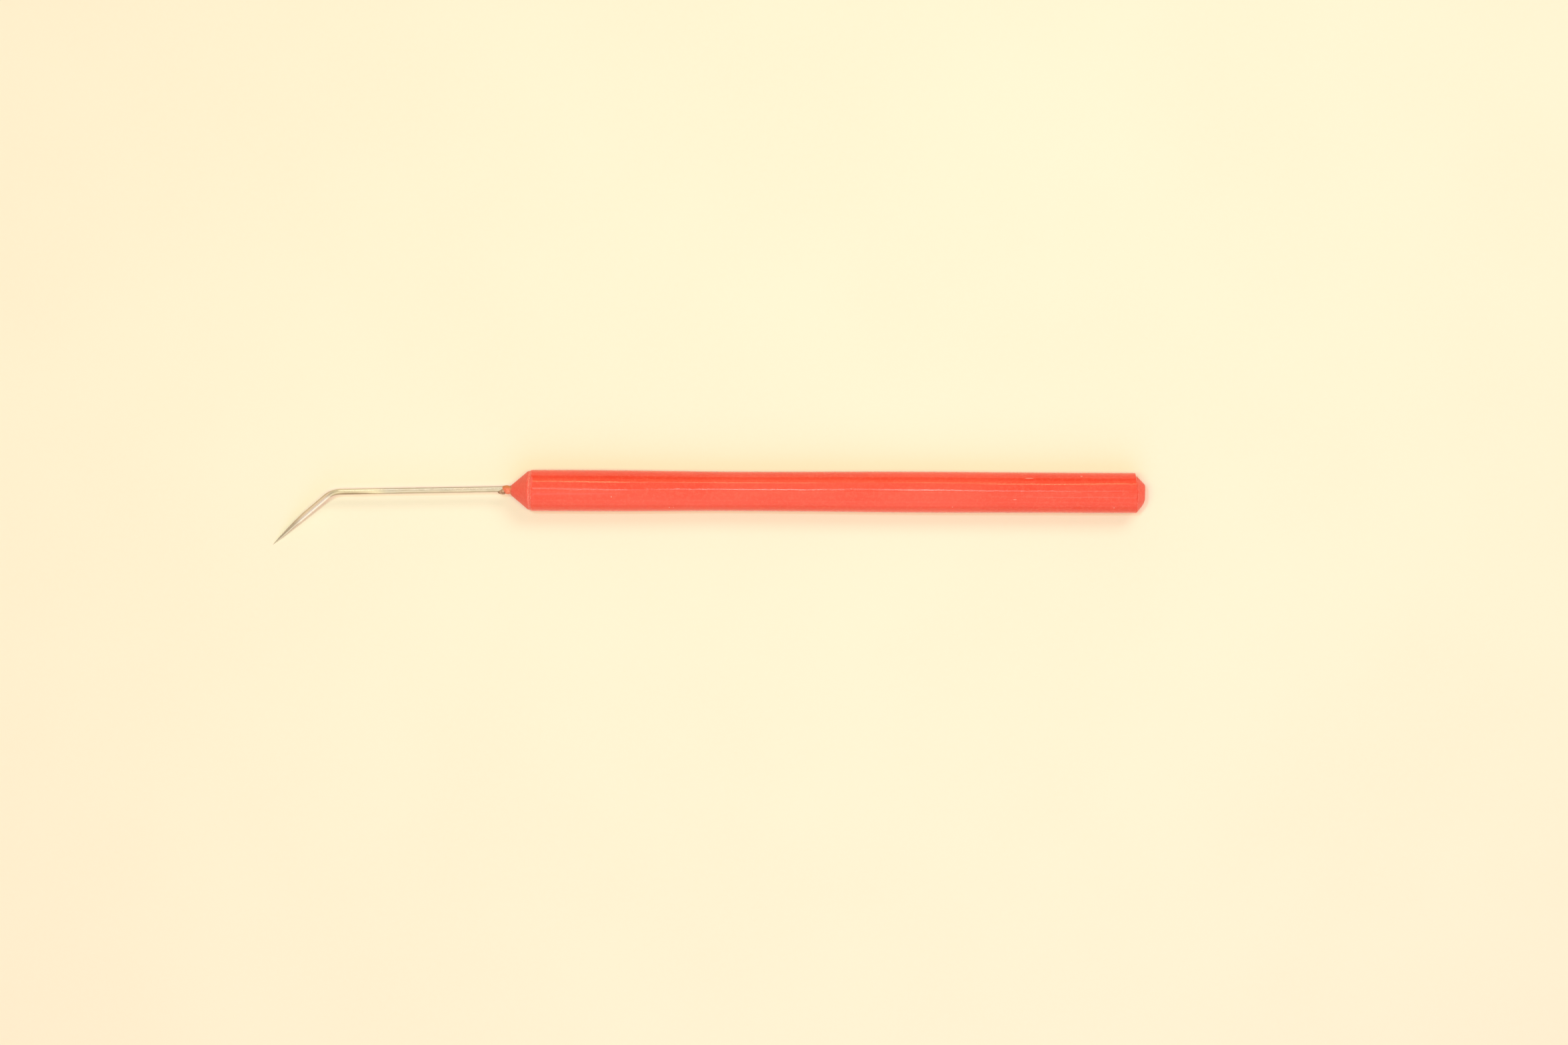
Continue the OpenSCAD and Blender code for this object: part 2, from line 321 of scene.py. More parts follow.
def make_rear_bead():
    """Thin bead between the tube and the head, round the head's own axis."""
    r, inner = HEAD_D / 2, BORE_D / 2 + HEAD_OFFSET + GAP
    x0, x1 = TUBE_LEN, HEAD_X
    outline = [(x0, inner), (x0, r + 0.03), ((x0 + x1) / 2, r + 0.01), (x1, r - 0.01)]
    outline += [(x1, inner), (x0, inner)]
    return turn("rear_bead", outline, sides=160, offset=-HEAD_OFFSET)


def make_end():
    """End plug: its spigot, and a head that is bevelled above, rounded below and off the axis."""
    spigot_x = TUBE_LEN - END_SPIGOT
    rings = [(spigot_x, 0, SPIGOT_R - LEAD_IN), (spigot_x + LEAD_IN, 0, SPIGOT_R)]
    rings += [(HEAD_X - 0.001, 0, SPIGOT_R)]
    # Head profile: distance behind the tube, upper edge, lower edge
    profile = [
        (0.12, 2.59, -3.11), (0.14, 2.60, -3.12), (0.22, 2.52, -3.01), (0.36, 2.38, -2.85),
        (0.52, 2.22, -2.66), (0.70, 2.04, -2.44), (0.88, 1.86, -2.21), (1.04, 1.70, -1.98),
        (1.17, 1.57, -1.75), (1.27, 1.47, -1.53), (1.34, 1.40, -1.33), (1.39, 1.35, -1.15),
        (1.43, 1.31, -0.95), (1.46, 1.28, -0.70), (1.48, 1.26, -0.40),
    ]
    rings += [(TUBE_LEN + x, (top + low) / 2, (top - low) / 2) for x, top, low in profile]
    end = draw_out("end", [(x, y, 0, r, r) for x, y, r in rings], sides=128)
    # The end face is slightly hollow from side to side
    clear_selection()
    bpy.ops.mesh.primitive_cylinder_add(
        vertices=512, radius=FACE_HOLLOW_R * MM, depth=10 * MM,
        location=((TUBE_LEN + FACE_HOLLOW_AT + FACE_HOLLOW_R) * MM, 0.4 * MM, 0),
    )
    cut(end, bpy.context.object)
    return end


def make_wire(name="wire", grow=0.0, sides=48):
    """Drawn wire: flattened tail, shank, slight neck bend, straight, crank and ground leg."""
    r0 = WIRE_D / 2 + grow
    place = Vector((MOUTH_X + SHANK_DEPTH + grow, SHANK_OFFSET, 0))
    wire = first_ring(name, *place, r0, sides)
    flat = Vector((1, (TAIL_T / 2 + grow) / r0, (TAIL_W / 2 + grow) / r0))
    bpy.ops.transform.resize(value=flat, center_override=place * MM)
    heading = Vector((-1, 0, 0))

    def draw(length, steps):
        """Extrude the end of the wire straight on."""
        nonlocal place
        for _ in range(steps):
            step = heading * (length / steps)
            bpy.ops.mesh.extrude_region_move(TRANSFORM_OT_translate={"value": step * MM})
            place = place + step

    def bend(r, angle, steps):
        """Turn the end of the wire towards the crank's side."""
        nonlocal place, heading
        inward = Vector((-heading.y, heading.x, 0))
        centre = place + inward * r
        bpy.ops.mesh.spin(steps=steps, angle=angle, center=centre * MM, axis=(0, 0, -1))
        turned = Matrix.Rotation(angle, 3, "Z")
        place = centre + turned @ (place - centre)
        heading = turned @ heading

    draw(TAIL + 2 * grow, 3)
    draw(TAIL_BLEND, 1)
    back = Vector((1, 1 / flat.y, 1 / flat.z))
    bpy.ops.transform.resize(value=back, center_override=place * MM)
    draw(SHANK_DEPTH - TAIL - TAIL_BLEND - grow, 6)
    bend(NECK_BEND_R, LEAN, 3)
    neck_run = NECK_BEND_R * tan(LEAN / 2)
    crank_run = CRANK_R * tan(CRANK / 2)
    draw((REACH - neck_run) / cos(LEAN) - neck_run - crank_run, 48)
    bend(CRANK_R, CRANK, 20)
    draw(LEG - crank_run - TAPER, 10)

    # The ground point: a round cone, cut by the wire's own surface on its inner side
    inside = Vector((-heading.y, heading.x, 0))
    cone_r = r0 + 0.012
    steps = 26
    last_u, last_r, last_shift = 0, r0, 0
    for i in range(1, steps + 1):
        u = (i / steps) ** 0.85
        ground_r = max(cone_r * (1 - u ** POINT_FULLNESS), POINT_D / 2)
        low = POINT_OFFSET * u - ground_r
        high = min(r0, POINT_OFFSET * u + ground_r)
        r, shift = (high - low) / 2, (high + low) / 2
        step = heading * (TAPER * (u - last_u)) + inside * (shift - last_shift)
        bpy.ops.mesh.extrude_region_move(TRANSFORM_OT_translate={"value": step * MM})
        place = place + step
        bpy.ops.transform.resize(value=(r / last_r,) * 3, center_override=place * MM)
        last_u, last_r, last_shift = u, r, shift
    bpy.ops.object.mode_set(mode="OBJECT")
    return weld(wire)


def neck_rings(grow=0.0):
    """Rings of the lump of resin at the mouth of the nose."""
    # Distance in front of the mouth, middle in Y, radius
    lump = [
        (1.42, 0.19, 0.482), (1.34, 0.19, 0.51), (1.22, 0.17, 0.565), (1.08, 0.15, 0.625),
        (0.92, 0.12, 0.68), (0.76, 0.10, 0.71), (0.60, 0.09, 0.71), (0.40, 0.07, 0.68),
        (0.22, 0.05, 0.69), (0.10, 0.03, 0.73), (0.03, 0.01, 0.79), (0.004, 0, 0.815),
    ]
    return [(MOUTH_X - x - grow, y, 0, r + grow, r + grow) for x, y, r in lump]


def make_neck():
    """Resin squeezed out round the needle, and the sleeve of it that fills the bore."""
    r = NEEDLE_BORE_D / 2 - GAP
    back = MOUTH_X + NEEDLE_BORE_DEPTH - GAP
    rings = [(x, 0, 0, r, r) for x in (MOUTH_X - 0.002, MOUTH_X + 5, back)]
    neck = draw_out("neck", neck_rings() + rings, sides=96)
    cut(neck, make_wire("wire_cutter", GAP / 2))
    return neck


def make_drop():
    """Drop of old residue that wraps the crank's side of the wire in front of the neck."""
    # Distance in front of the mouth, middle in Y and Z, radius in Y and Z
    blob = [
        (2.34, -0.24, 0.00, 0.03, 0.05), (2.26, -0.26, 0.02, 0.11, 0.18),
        (2.14, -0.25, 0.05, 0.22, 0.34), (1.97, -0.21, 0.09, 0.35, 0.49),
        (1.77, -0.16, 0.12, 0.46, 0.58), (1.57, -0.12, 0.13, 0.54, 0.62),
        (1.37, -0.09, 0.12, 0.58, 0.64), (1.20, -0.10, 0.10, 0.57, 0.63),
        (1.06, -0.15, 0.08, 0.52, 0.56), (0.95, -0.19, 0.05, 0.43, 0.45),
        (0.87, -0.22, 0.02, 0.27, 0.28), (0.83, -0.22, 0.00, 0.08, 0.07),
    ]
    drop = draw_out("drop", [(MOUTH_X - x, y, z, a, b) for x, y, z, a, b in blob], sides=64)
    ruffle(drop, height=0.07, size=0.28)
    cut(drop, make_wire("wire_cutter", GAP / 2))
    cut(drop, draw_out("neck_cutter", neck_rings(GAP / 2), sides=96))
    return drop


# ---- Materials

# Sockets of a Mix node: for plain values, and for colours
VALUE_A, VALUE_B, VALUE_OUT = 2, 3, 0
COLOUR_A, COLOUR_B, COLOUR_OUT = 6, 7, 2


def background_rays(nodes, links):
    """1 for what the camera, gloss and see-through surfaces see, and 0 for the light itself."""
    rays = nodes.new("ShaderNodeLightPath")
    seen = rays.outputs["Is Camera Ray"]
    for name in ("Is Glossy Ray", "Is Transmission Ray"):
        either = nodes.new("ShaderNodeMath")
        either.operation = "MAXIMUM"
        links.new(seen, either.inputs[0])
        links.new(rays.outputs[name], either.inputs[1])
        seen = either.outputs[0]
    return seen


class Finish:
    """A material under construction, with patterns laid out in millimetres."""

    def __init__(self, name):
        self.material = bpy.data.materials.new(name)
        self.material.use_nodes = True
        self.nodes = self.material.node_tree.nodes
        self.links = self.material.node_tree.links
        self.shader = self.nodes["Principled BSDF"]
        self.place = self.add("ShaderNodeTexCoord").outputs["Object"]

    def add(self, kind, inputs=None, **settings):
        """A new node with its inputs linked or set."""
        node = self.nodes.new(kind)
        for name, value in settings.items():
            setattr(node, name, value)
        for socket, value in (inputs or {}).items():
            if isinstance(value, bpy.types.NodeSocket):
                self.links.new(value, node.inputs[socket])
            else:
                node.inputs[socket].default_value = value
        return node

    def spread(self, middle=(0, 0, 0), stretch=(1, 1, 1), shift=(0, 0, 0)):
        """Coordinates in millimetres from a middle, squeezed along each axis by stretch."""
        scale = [1000 / s for s in stretch]
        location = [b - m * s for m, s, b in zip(middle, scale, shift)]
        mapping = self.add("ShaderNodeMapping", {"Vector": self.place, "Scale": scale})
        mapping.inputs["Location"].default_value = location
        return mapping.outputs["Vector"]

    def along(self):
        """Distance behind the front end of the tube, in millimetres."""
        split = self.add("ShaderNodeSeparateXYZ", {"Vector": self.spread(AXIS)})
        return split.outputs["X"]

    def distance(self, middle, stretch=(1, 1, 1)):
        """Distance from a place, in millimetres."""
        return self.add("ShaderNodeVectorMath", {
            0: self.spread(middle, stretch),
        }, operation="LENGTH").outputs["Value"]

    def noise(self, size, stretch=(1, 1, 1), detail=3, rough=0.5, shift=(0, 0, 0)):
        """Cloudy noise with features of about size millimetres."""
        return self.add("ShaderNodeTexNoise", {
            "Vector": self.spread(AXIS, stretch, shift), "Scale": 1 / size,
            "Detail": detail, "Roughness": rough,
        }).outputs["Fac"]

    def span(self, value, low, high, to_low=0.0, to_high=1.0):
        """Remap a value, clamped at both ends."""
        return self.add("ShaderNodeMapRange", {
            "Value": value, "From Min": low, "From Max": high,
            "To Min": to_low, "To Max": to_high,
        }, interpolation_type="SMOOTHSTEP").outputs["Result"]

    def math(self, operation, a, b=0.0):
        return self.add("ShaderNodeMath", {0: a, 1: b}, operation=operation).outputs["Value"]

    def line(self, at, half_width, wobble):
        """A ragged line round the tool at a place along it."""
        offset = self.math("SUBTRACT", self.math("ADD", self.along(), wobble), at)
        return self.span(self.math("ABSOLUTE", offset), half_width, half_width / 3)

    def mix(self, share, a, b):
        """Mix two colours."""
        node = self.add("ShaderNodeMix", {"Factor": share}, data_type="RGBA")
        for socket, value in ((node.inputs[COLOUR_A], a), (node.inputs[COLOUR_B], b)):
            if isinstance(value, bpy.types.NodeSocket):
                self.links.new(value, socket)
            else:
                socket.default_value = (*value, 1)
        return node.outputs[COLOUR_OUT]

    def blend(self, share, a, b):
        """Mix two plain values."""
        inputs = {"Factor": share, VALUE_A: a, VALUE_B: b}
        return self.add("ShaderNodeMix", inputs).outputs[VALUE_OUT]

    def bump(self, height, strength, distance, onto=None):
        """Relief of at most a distance in millimetres, on top of another relief if given."""
        inputs = {"Height": height, "Strength": strength, "Distance": distance * MM}
        if onto is not None:
            inputs["Normal"] = onto
        return self.add("ShaderNodeBump", inputs).outputs["Normal"]

    def set(self, **values):
        """Set the shader's sockets, with underscores for the spaces in their names."""
        for name, value in values.items():
            socket = self.shader.inputs[name.replace("_", " ")]
            if isinstance(value, bpy.types.NodeSocket):
                self.links.new(value, socket)
            elif isinstance(value, tuple) and len(value) == 3 and socket.type == "RGBA":
                socket.default_value = (*value, 1)
            else:
                socket.default_value = value
        return self.material


def on_handle(x, y, r):
    """A place on the upper side of the handle, from its local place along and across."""
    return AXIS + Vector((x, y, sqrt(r * r - y * y))) * MM


# Red plastic where it is scuffed
WHITENED = (0.94, 0.38, 0.28)

# Pale nicks and lint seen on the handle: place along, place across, length and width
NICKS = [
    (13.0, -1.00, 0.14, 0.30), (22.2, -2.65, 0.20, 0.14), (22.9, -2.62, 0.12, 0.10),
    (67.4, -2.40, 0.20, 0.12), (93.2, -2.40, 0.26, 0.16),
    (79.6, 2.25, 1.50, 0.14), (88.0, 2.62, 0.40, 0.12), (77.3, -1.17, 0.60, 0.10),
]


def glossy_red():
    """Extruded plastic of the tube: clouded, with drawn lines, nicks and a whitened front rim."""
    f = Finish("glossy_red_plastic")
    cloud = f.noise(5, stretch=(4, 1, 1), detail=4)
    mottle = f.noise(0.55, detail=4, rough=0.6, shift=(7, 3, 1))
    colour = f.mix(f.span(cloud, 0.35, 0.65), (0.86, 0.064, 0.028), (0.90, 0.086, 0.044))
    colour = f.mix(f.span(mottle, 0.42, 0.7, 0, 0.5), colour, (0.92, 0.12, 0.065))

    marks = 0.0
    ragged = f.noise(0.09, detail=3, rough=0.7, shift=(4, 8, 2))
    for x, y, length, width in NICKS:
        reach = f.distance(on_handle(x, y, WAIST_D / 2 + 0.08), (length / 2, width / 2, 0.5))
        reach = f.math("ADD", reach, f.math("MULTIPLY", ragged, 0.8))
        marks = f.math("MAXIMUM", marks, f.span(reach, 1.5, 1.1))
    wobble = f.span(f.noise(0.5, detail=3, shift=(1, 6, 3)), 0.2, 0.8, -0.08, 0.08)
    rim = f.line(0.05, 0.10, wobble)
    rim = f.math("MULTIPLY", rim, f.span(ragged, 0.38, 0.62, 0, 0.75))
    marks = f.math("MAXIMUM", marks, rim)
    colour = f.mix(f.math("MULTIPLY", marks, 0.85), colour, WHITENED)

    wear = f.noise(3, stretch=(8, 1, 1), detail=5, rough=0.6, shift=(2, 9, 4))
    lines = f.noise(0.12, stretch=(60, 1, 1), detail=2, shift=(5, 1, 8))
    waves = f.noise(2.2, stretch=(2.5, 1, 1), detail=3, shift=(9, 2, 5))
    skin = f.bump(waves, 0.5, 0.05)
    height = f.math("ADD", f.math("MULTIPLY", lines, 0.4), mottle)
    height = f.math("ADD", height, f.math("MULTIPLY", marks, 1.5))
    return f.set(
        Base_Color=colour,
        Roughness=f.span(wear, 0.3, 0.7, 0.045, 0.08),
        Normal=f.bump(height, 0.1, 0.04, skin),
        IOR=1.5,
        Subsurface_Weight=0.12,
        Subsurface_Radius=(1.0, 0.25, 0.12),
        Subsurface_Scale=1.0 * MM,
    )


def matte_red():
    """Turned plastic of the nose and the end plug: matte and specked."""
    f = Finish("matte_red_plastic")
    mottle = f.noise(0.4, detail=5, rough=0.65)
    speck = f.noise(0.16, detail=3, rough=0.6, shift=(3, 5, 9))
    colour = f.mix(f.span(mottle, 0.35, 0.7), (0.86, 0.105, 0.062), (0.90, 0.135, 0.085))
    near_rim = f.span(f.math("ABSOLUTE", f.math("ADD", f.along(), 0.4)), 0.9, 0.2)
    colour = f.mix(
        f.math("MULTIPLY", f.span(speck, 0.58, 0.68, 0, 0.35), near_rim), colour, WHITENED
    )
    colour = f.mix(f.span(speck, 0.66, 0.74, 0, 0.5), colour, (0.5, 0.06, 0.05))
    ragged = f.noise(0.09, detail=3, rough=0.7, shift=(4, 8, 2))
    wobble = f.span(f.noise(0.5, detail=3, shift=(1, 2, 3)), 0.2, 0.8, -0.08, 0.08)
    rim = f.math("MULTIPLY", f.line(-0.28, 0.09, wobble), f.span(ragged, 0.36, 0.6, 0, 0.75))
    colour = f.mix(rim, colour, WHITENED)
    return f.set(
        Base_Color=colour,
        Roughness=0.48,
        Normal=f.bump(f.math("ADD", mottle, speck), 0.3, 0.03),
        IOR=1.5,
        Subsurface_Weight=0.12,
        Subsurface_Radius=(1.0, 0.25, 0.12),
        Subsurface_Scale=0.8 * MM,
    )


def whitened_bead(name, share):
    """Bead in the plastic's red, whitened in specks by a share."""
    f = Finish(name)
    speck = f.noise(0.12, detail=4, rough=0.7)
    colour = f.mix(f.span(speck, 0.45, 0.65, 0, share), (0.87, 0.10, 0.055), (0.95, 0.42, 0.32))
    return f.set(
        Base_Color=colour,
        Roughness=0.5,
        Normal=f.bump(speck, 0.6, 0.04),
        Subsurface_Weight=0.1,
        Subsurface_Radius=(1.0, 0.4, 0.3),
        Subsurface_Scale=0.3 * MM,
    )


def amber_resin():
    """Cured resin of the neck; its upper side is made browner by painted shade."""
    f = Finish("amber_resin")
    flow = f.noise(0.35, detail=4, rough=0.6)
    colour = f.mix(f.span(flow, 0.35, 0.65), (0.78, 0.17, 0.07), (0.88, 0.27, 0.14))
    # Painted shade: the upper side, towards +Y, is made browner
    above = f.add("ShaderNodeSeparateXYZ", {"Vector": f.spread(AXIS)}).outputs["Y"]
    above = f.math("ADD", above, f.span(flow, 0.2, 0.8, -0.2, 0.2))
    colour = f.mix(f.span(above, 0.2, 0.55), colour, (0.62, 0.22, 0.06))
    return f.set(
        Base_Color=colour,
        Roughness=0.22,
        Normal=f.bump(flow, 0.6, 0.06),
        IOR=1.52,
        Subsurface_Weight=0.4,
        Subsurface_Radius=(1.0, 0.35, 0.12),
        Subsurface_Scale=0.4 * MM,
    )


def brown_residue():
    """Dried glossy drop."""
    f = Finish("brown_residue")
    flow = f.noise(0.3, detail=5, rough=0.7)
    colour = f.mix(f.span(flow, 0.38, 0.6), (0.24, 0.14, 0.07), (0.58, 0.37, 0.21))
    return f.set(
        Base_Color=colour,
        Roughness=0.32,
        Normal=f.bump(flow, 0.6, 0.06),
        Subsurface_Weight=0.3,
        Subsurface_Radius=(1.0, 0.5, 0.25),
        Subsurface_Scale=0.3 * MM,
    )


def on_wire(x, y):
    """A place at the wire's height, from its local place along and towards +Y."""
    return AXIS + Matrix.Rotation(ROLL, 3, "X") @ Vector((x, y, 0)) * MM


def drawn_steel():
    """Drawn wire, with straw colour and painted shade beside its crank, painted reflection bands
    across its leg and a duller ground point.
    """
    f = Finish("drawn_steel")
    film = f.noise(1.4, stretch=(3, 1, 1), detail=4)
    lines = f.noise(0.06, stretch=(30, 1, 1), detail=3)

    # The drawn lines turn with the wire at its crank
    corner = (MOUTH_X - REACH, SHANK_OFFSET - REACH * tan(LEAN))
    middle = on_wire(*corner)
    leg_angle = atan(tan(CRANK + LEAN) * cos(ROLL))
    upright = f.place
    f.place = f.add("ShaderNodeVectorRotate", {
        "Vector": upright, "Center": middle, "Angle": -leg_angle,
    }, rotation_type="Z_AXIS").outputs["Vector"]
    leg_lines = f.noise(0.06, stretch=(30, 1, 1), detail=3)
    across = f.add("ShaderNodeSeparateXYZ", {"Vector": f.spread(middle)}).outputs["Y"]
    f.place = upright
    on_leg = f.span(f.along(), corner[0] + 0.5, corner[0] - 0.8)
    lines = f.blend(on_leg, lines, leg_lines)

    colour = f.mix(f.span(film, 0.35, 0.7), (0.45, 0.395, 0.32), (0.52, 0.44, 0.35))
    colour = f.mix(f.span(lines, 0.42, 0.62, 0, 0.6), colour, (0.55, 0.50, 0.44))

    # Painted reflection: bands across the leg, from its outer to its inner side, ending in a
    # painted white highlight
    leg = f.mix(f.span(across, 0.12, 0.04), (0.62, 0.50, 0.39), (0.72, 0.58, 0.53))
    leg = f.mix(f.span(across, -0.06, -0.14), leg, (0.46, 0.40, 0.40))
    leg = f.mix(f.span(across, -0.27, -0.38), leg, (1.0, 1.0, 1.0))
    painted_band_share = f.math("MULTIPLY", on_leg, f.span(leg_lines, 0.3, 0.7, 0.8, 1))
    colour = f.mix(painted_band_share, colour, leg)

    # Straw colour beside the crank, and painted shade in brown on its inner side
    straw = f.span(f.distance(on_wire(corner[0] + 4, corner[1])), 5.5, 2.5)
    colour = f.mix(f.math("MULTIPLY", straw, 0.55), colour, (0.80, 0.70, 0.50))
    inner_side = on_wire(corner[0] + 3.6, corner[1] - 0.6)
    scale = f.span(f.distance(inner_side, stretch=(4.5, 0.6, 2)), 1.3, 0.6)
    scale = f.math("MULTIPLY", scale, f.span(film, 0.3, 0.6, 0.5, 0.9))
    colour = f.mix(scale, colour, (0.27, 0.20, 0.14))

    ground = f.span(f.distance(point), TAPER - 0.6, TAPER - 2.4)
    scratch = f.noise(0.04, stretch=(4, 4, 1), detail=3, shift=(3, 1, 2))
    colour = f.mix(f.math("MULTIPLY", ground, 0.7), colour, (0.40, 0.34, 0.27))
    smooth = f.span(film, 0.3, 0.7, 0.10, 0.20)
    roughness = f.math("ADD", smooth, f.math("MULTIPLY", ground, 0.12))
    height = f.math("ADD", lines, f.math("MULTIPLY", scratch, ground))
    return f.set(
        Base_Color=colour,
        Metallic=1.0,
        Roughness=roughness,
        Normal=f.bump(height, 0.2, 0.01),
    )


def cream_paper():
    """Paper under the tool."""
    f = Finish("cream_paper")
    fibre = f.noise(0.8, detail=6, rough=0.7)
    tone = f.noise(40, detail=2)
    colour = f.mix(f.span(tone, 0.3, 0.7), (0.93, 0.90, 0.685), (0.94, 0.915, 0.70))
    colour = f.mix(f.span(fibre, 0.3, 0.7, 0, 0.3), colour, (0.945, 0.925, 0.72))
    # Far from the tool the lamps fade, and there the paper is kept pale as a background
    far = f.span(f.distance((0, 0, 0)), 180, 1000)
    return f.set(
        Base_Color=colour,
        Emission_Color=(0.52, 0.73, 0.56),
        Emission_Strength=f.math("MULTIPLY", background_rays(f.nodes, f.links), far),
        Roughness=0.95,
        Specular_IOR_Level=0.0,
        Normal=f.bump(fibre, 0.08, 0.1),
    )


# ---- The tool

red, matte = glossy_red(), matte_red()
lay_down(make_wire(), drawn_steel(), "needle_steel", "needle", smooth=60)
lay_down(make_drop(), brown_residue(), "brown_residue", "neck_residue")
lay_down(make_neck(), amber_resin(), "amber_resin", "bond_sleeve")
lay_down(make_nose(), matte, "plug_plastic", "nose_plug", smooth=25)
lay_down(make_front_bead(), whitened_bead("front_bead", 0.8), "pale_bead", "front_bond_ring")
lay_down(make_tube(), red, "handle_plastic", "handle_tube", smooth=30)
lay_down(make_rear_bead(), whitened_bead("rear_bead", 0.45), "pale_bead", "rear_bond_ring")
lay_down(make_end(), matte, "plug_plastic", "end_plug", smooth=30)

# ---- Paper, camera and light

# The paper is 3 m wide, and a hair below the tool
clear_selection()
bpy.ops.mesh.primitive_plane_add(size=3, location=(0, 0, -0.02 * MM))
floor = bpy.context.object
floor.name = "paper"
floor.data.materials.append(cream_paper())

# The camera looks straight down from where the tube's front end lands on its pixel
PHOTO_W, PHOTO_H = 2352, 1568
FRONT_PX, FRONT_PY = 796.5, 737.45
PIXEL = 0.1068 * MM
LENS, SENSOR = 50, 22.3
VIEW_TURN = radians(0.256)
centre = Vector((
    AXIS.x + (PHOTO_W / 2 - FRONT_PX) * PIXEL,
    AXIS.y - (PHOTO_H / 2 - FRONT_PY) * PIXEL,
    AXIS.z + PHOTO_W * PIXEL * LENS / SENSOR,
))
bpy.ops.object.camera_add(location=centre, rotation=(0, 0, VIEW_TURN))
camera = bpy.context.object
camera.data.lens = LENS
camera.data.sensor_width = SENSOR
camera.data.clip_start = 0.01
camera.data.clip_end = 10
bpy.context.scene.camera = camera


def lamp(name, place, size, brightness, colour, lights=True, shows=True):
    """Rectangular lamp aimed at the tool, of a given brightness (1 is white).

    A lamp that lights falls on the surfaces, and one that shows is mirrored in them.
    """
    place = Vector(place)
    bpy.ops.object.light_add(type="AREA", location=place)
    light = bpy.context.object
    light.name = name
    light.rotation_mode = "QUATERNION"
    light.rotation_quaternion = Vector((0, -place.y, -place.z)).to_track_quat("-Z", "Y")
    if abs(place.x) > 2 * size[0]:
        light.rotation_quaternion = (-place).to_track_quat("-Z", "Y")
    light.data.shape = "RECTANGLE"
    light.data.size, light.data.size_y = size
    light.data.energy = brightness * pi * size[0] * size[1]
    light.data.color = colour
    light.visible_camera = False
    light.visible_diffuse = lights
    light.visible_glossy = shows


# Lamps that light the tool and throw its shadow
lamp("key", (-0.066, 0.068, 0.6), (0.035, 0.035), 164, (0.35, 0.77, 1), shows=False)
lamp("overhead", (-0.02, -0.012, 0.62), (0.4, 0.08), 18.3, (0.7, 1, 0.6), shows=False)
lamp("soft_above", (0.25, 0.30, 0.50), (0.35, 0.2), 5, (1, 0.8, 0.8), shows=False)
lamp("soft_below", (0.10, -0.40, 0.47), (0.5, 0.5), 1.2, (0.72, 0.42, 1), shows=False)

# Lamps that show as streaks on the plastic: ends along X, angle from overhead, brightness
STREAK_FAR = 0.594
STREAK_W = 0.045
for i, (x0, x1, angle, brightness) in enumerate([
    (-0.074, -0.058, 53, 5), (-0.058, -0.028, 49, 9), (-0.028, -0.014, 50, 2),
    (-0.014, 0.014, 51, 4.5), (0.014, 0.046, 54, 1), (0.046, 0.088, 54, 4),
    (0.088, 0.112, 48, 9), (0.112, 0.124, 54, 7), (0.124, 0.150, 50, 3),
]):
    far, high = STREAK_FAR * sin(radians(angle)), STREAK_FAR * cos(radians(angle))
    lamp(f"warm_lamp_{i}", ((x0 + x1) / 2, far, high), (x1 - x0, STREAK_W), brightness,
         (1, 0.72, 0.30), lights=False)

# The same under the ceiling: ends along X, place along Y, brightness
CEILING = 0.74
for i, (x0, x1, y, brightness) in enumerate([
    (-0.082, -0.062, 0.105, 3.5), (-0.062, -0.034, 0.070, 5), (-0.021, -0.009, 0.105, 4),
    (-0.007, 0.016, 0.140, 12), (0.022, 0.029, 0.190, 8), (0.046, 0.056, 0.185, 10),
    (0.056, 0.078, 0.145, 13), (0.081, 0.108, 0.105, 5), (0.110, 0.128, 0.085, 3.5),
    (0.130, 0.138, 0.145, 4),
]):
    lamp(f"ceiling_lamp_{i}", ((x0 + x1) / 2, y, CEILING), (x1 - x0, STREAK_W), brightness,
         (1, 0.96, 0.94), lights=False)
lamp("low_right", (0.1125, -0.277, 0.543), (0.036, 0.04), 1.6, (1, 0.97, 0.95), lights=False)

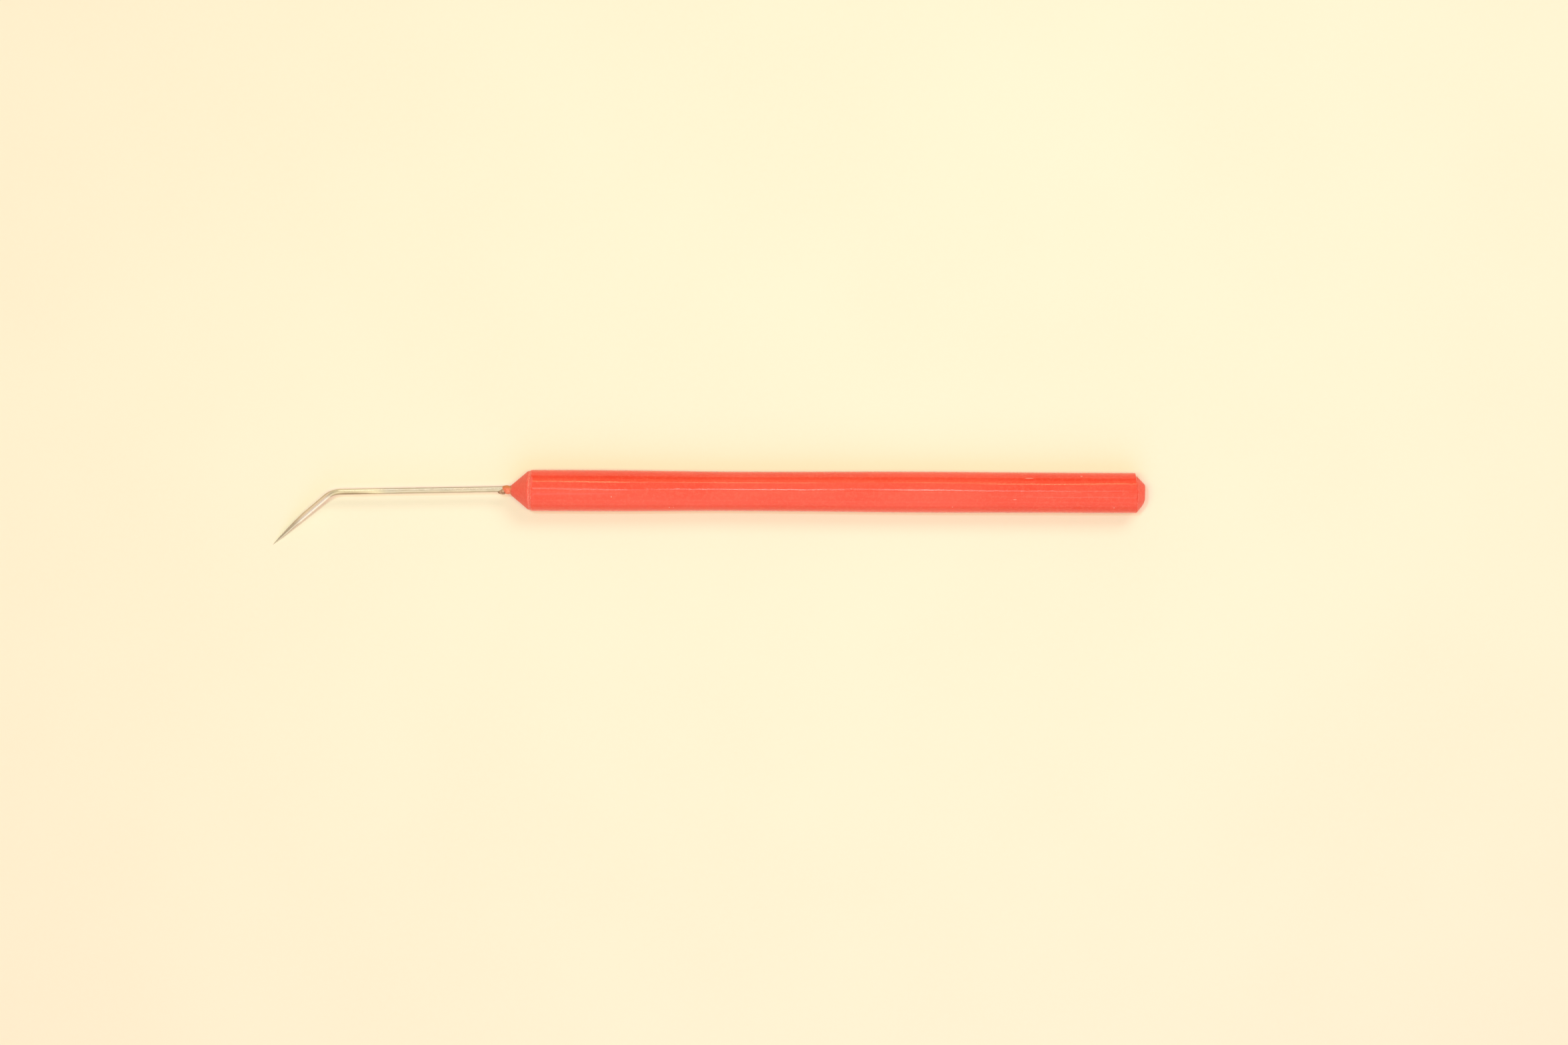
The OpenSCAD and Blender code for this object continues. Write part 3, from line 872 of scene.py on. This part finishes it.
# Pale surfaces of the room, mirrored in the lower side of the tool
lamp("ceiling", (0.45, -0.42, 0.73), (1.5, 1.0), 0.5, (1, 0.96, 0.78), lights=False)
lamp("pale_wall", (0, -1.15, 0.37), (3.0, 0.72), 0.5, (1, 0.96, 0.78), lights=False)
lamp("warm_glow", (0.03, 0.524, 0.279), (0.22, 0.15), 0.8, (1, 0.72, 0.35), lights=False)

# Broad lamps that show in the straight of the wire, and in its leg
lamp("wire_above", (-0.115, 0.51, 0.318), (0.07, 0.46), 1.25, (0.94, 1, 1), lights=False)
lamp("wire_below", (-0.1034, -0.31, 0.515), (0.039, 0.42), 0.65, (0.7, 0.85, 1), lights=False)
lamp("crank_glow", (-0.133, 0.26, 0.54), (0.026, 0.36), 2.6, (1, 0.98, 0.9), lights=False)
lamp("leg_above", (-0.47, 0.17, 0.32), (0.25, 0.35), 0.6, (1, 0.86, 0.7), lights=False)
lamp("leg_window", (0.78, -2.6, 0.70), (0.65, 1.4), 1, (1, 1, 1), lights=False)

# Dark far side of the room, mirrored in the upper side of the tool
bpy.ops.mesh.primitive_plane_add(size=1, location=(0.55, 0.8, 0.29), rotation=(pi / 2, 0, 0))
dark = bpy.context.object
dark.name = "dark_card"
dark.scale = (1.3, 0.58, 1)
bpy.ops.object.transform_apply(location=True, rotation=True, scale=True)
shade = bpy.data.materials.new("dark_card")
shade.use_nodes = True
shade.node_tree.nodes["Principled BSDF"].inputs["Base Color"].default_value = (0.5, 0.4, 0.3, 1)
dark.data.materials.append(shade)
dark.visible_camera = False
dark.visible_diffuse = False
dark.visible_shadow = False
dark.visible_transmission = False

# Soft light from all round, and a background in the paper's tone
ROOM_TONE = (0.50, 0.22, 0.20)
PAPER_TONE = (0.985, 0.93, 0.70)
world = bpy.data.worlds.new("studio")
bpy.context.scene.world = world
world.use_nodes = True
nodes, links = world.node_tree.nodes, world.node_tree.links
tone = nodes.new("ShaderNodeMix")
tone.data_type = "RGBA"
tone.inputs[COLOUR_A].default_value = (*ROOM_TONE, 1)
tone.inputs[COLOUR_B].default_value = (*PAPER_TONE, 1)
links.new(background_rays(nodes, links), tone.inputs["Factor"])
links.new(tone.outputs[COLOUR_OUT], nodes["Background"].inputs["Color"])

bpy.context.scene.view_settings.view_transform = "Standard"
